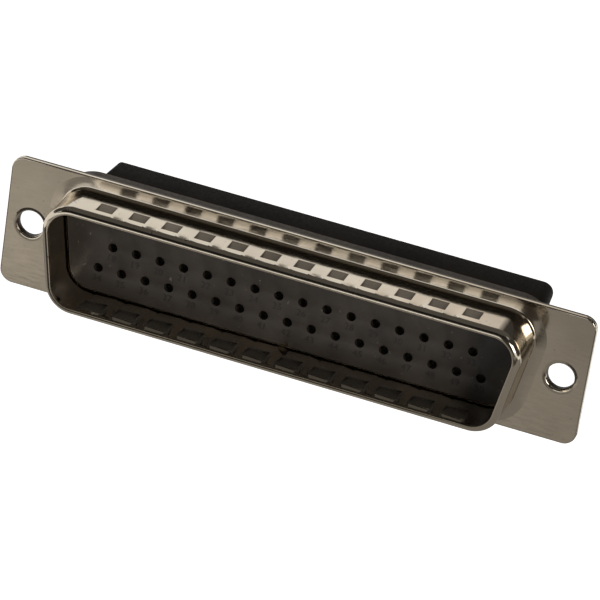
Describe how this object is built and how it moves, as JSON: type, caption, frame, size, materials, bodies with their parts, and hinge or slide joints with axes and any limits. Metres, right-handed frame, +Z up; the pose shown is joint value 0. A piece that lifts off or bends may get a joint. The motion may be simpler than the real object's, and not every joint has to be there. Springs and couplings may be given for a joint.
{
  "type": "d-sub connector",
  "caption": "Crimp plug housing with a dimpled D-shaped steel hood on a flange with mounting holes, dark insulators in front and behind, and rows of open contact cavities.",
  "frame": {"origin": "middle of the contact pattern and of the two mounting holes, on the front face of the flange", "axes": "+X along the connector, to the right when the mating face is looked at; +Y back from the mating face towards the rear insulator; +Z up, towards the wide side of the D"},
  "size_m": [0.067, 0.0146, 0.0154],
  "materials": {
    "drawn_steel": "satin tin plating, brighter on the drawn hood",
    "backing_steel": "satin tin plating",
    "grey_insulator": "fine moulded matte",
    "black_insulator": "moulded satin",
    "clip_metal": "bright rolled spring alloy"
  },
  "bodies": {
    "root": {"front_shell": "drawn_steel", "rear_shell": "backing_steel", "front_insulator": "grey_insulator", "rear_insulator": "black_insulator", "retention_clip_01": "clip_metal", "retention_clip_02": "clip_metal", "retention_clip_03": "clip_metal", "retention_clip_04": "clip_metal", "retention_clip_05": "clip_metal", "retention_clip_06": "clip_metal", "retention_clip_07": "clip_metal", "retention_clip_08": "clip_metal", "retention_clip_09": "clip_metal", "retention_clip_10": "clip_metal", "retention_clip_11": "clip_metal", "retention_clip_12": "clip_metal", "retention_clip_13": "clip_metal", "retention_clip_14": "clip_metal", "retention_clip_15": "clip_metal", "retention_clip_16": "clip_metal", "retention_clip_17": "clip_metal", "retention_clip_18": "clip_metal", "retention_clip_19": "clip_metal", "retention_clip_20": "clip_metal", "retention_clip_21": "clip_metal", "retention_clip_22": "clip_metal", "retention_clip_23": "clip_metal", "retention_clip_24": "clip_metal", "retention_clip_25": "clip_metal", "retention_clip_26": "clip_metal", "retention_clip_27": "clip_metal", "retention_clip_28": "clip_metal", "retention_clip_29": "clip_metal", "retention_clip_30": "clip_metal", "retention_clip_31": "clip_metal", "retention_clip_32": "clip_metal", "retention_clip_33": "clip_metal", "retention_clip_34": "clip_metal", "retention_clip_35": "clip_metal", "retention_clip_36": "clip_metal", "retention_clip_37": "clip_metal", "retention_clip_38": "clip_metal", "retention_clip_39": "clip_metal", "retention_clip_40": "clip_metal", "retention_clip_41": "clip_metal", "retention_clip_42": "clip_metal", "retention_clip_43": "clip_metal", "retention_clip_44": "clip_metal", "retention_clip_45": "clip_metal", "retention_clip_46": "clip_metal", "retention_clip_47": "clip_metal", "retention_clip_48": "clip_metal", "retention_clip_49": "clip_metal", "retention_clip_50": "clip_metal"}
  },
  "joints": []
}
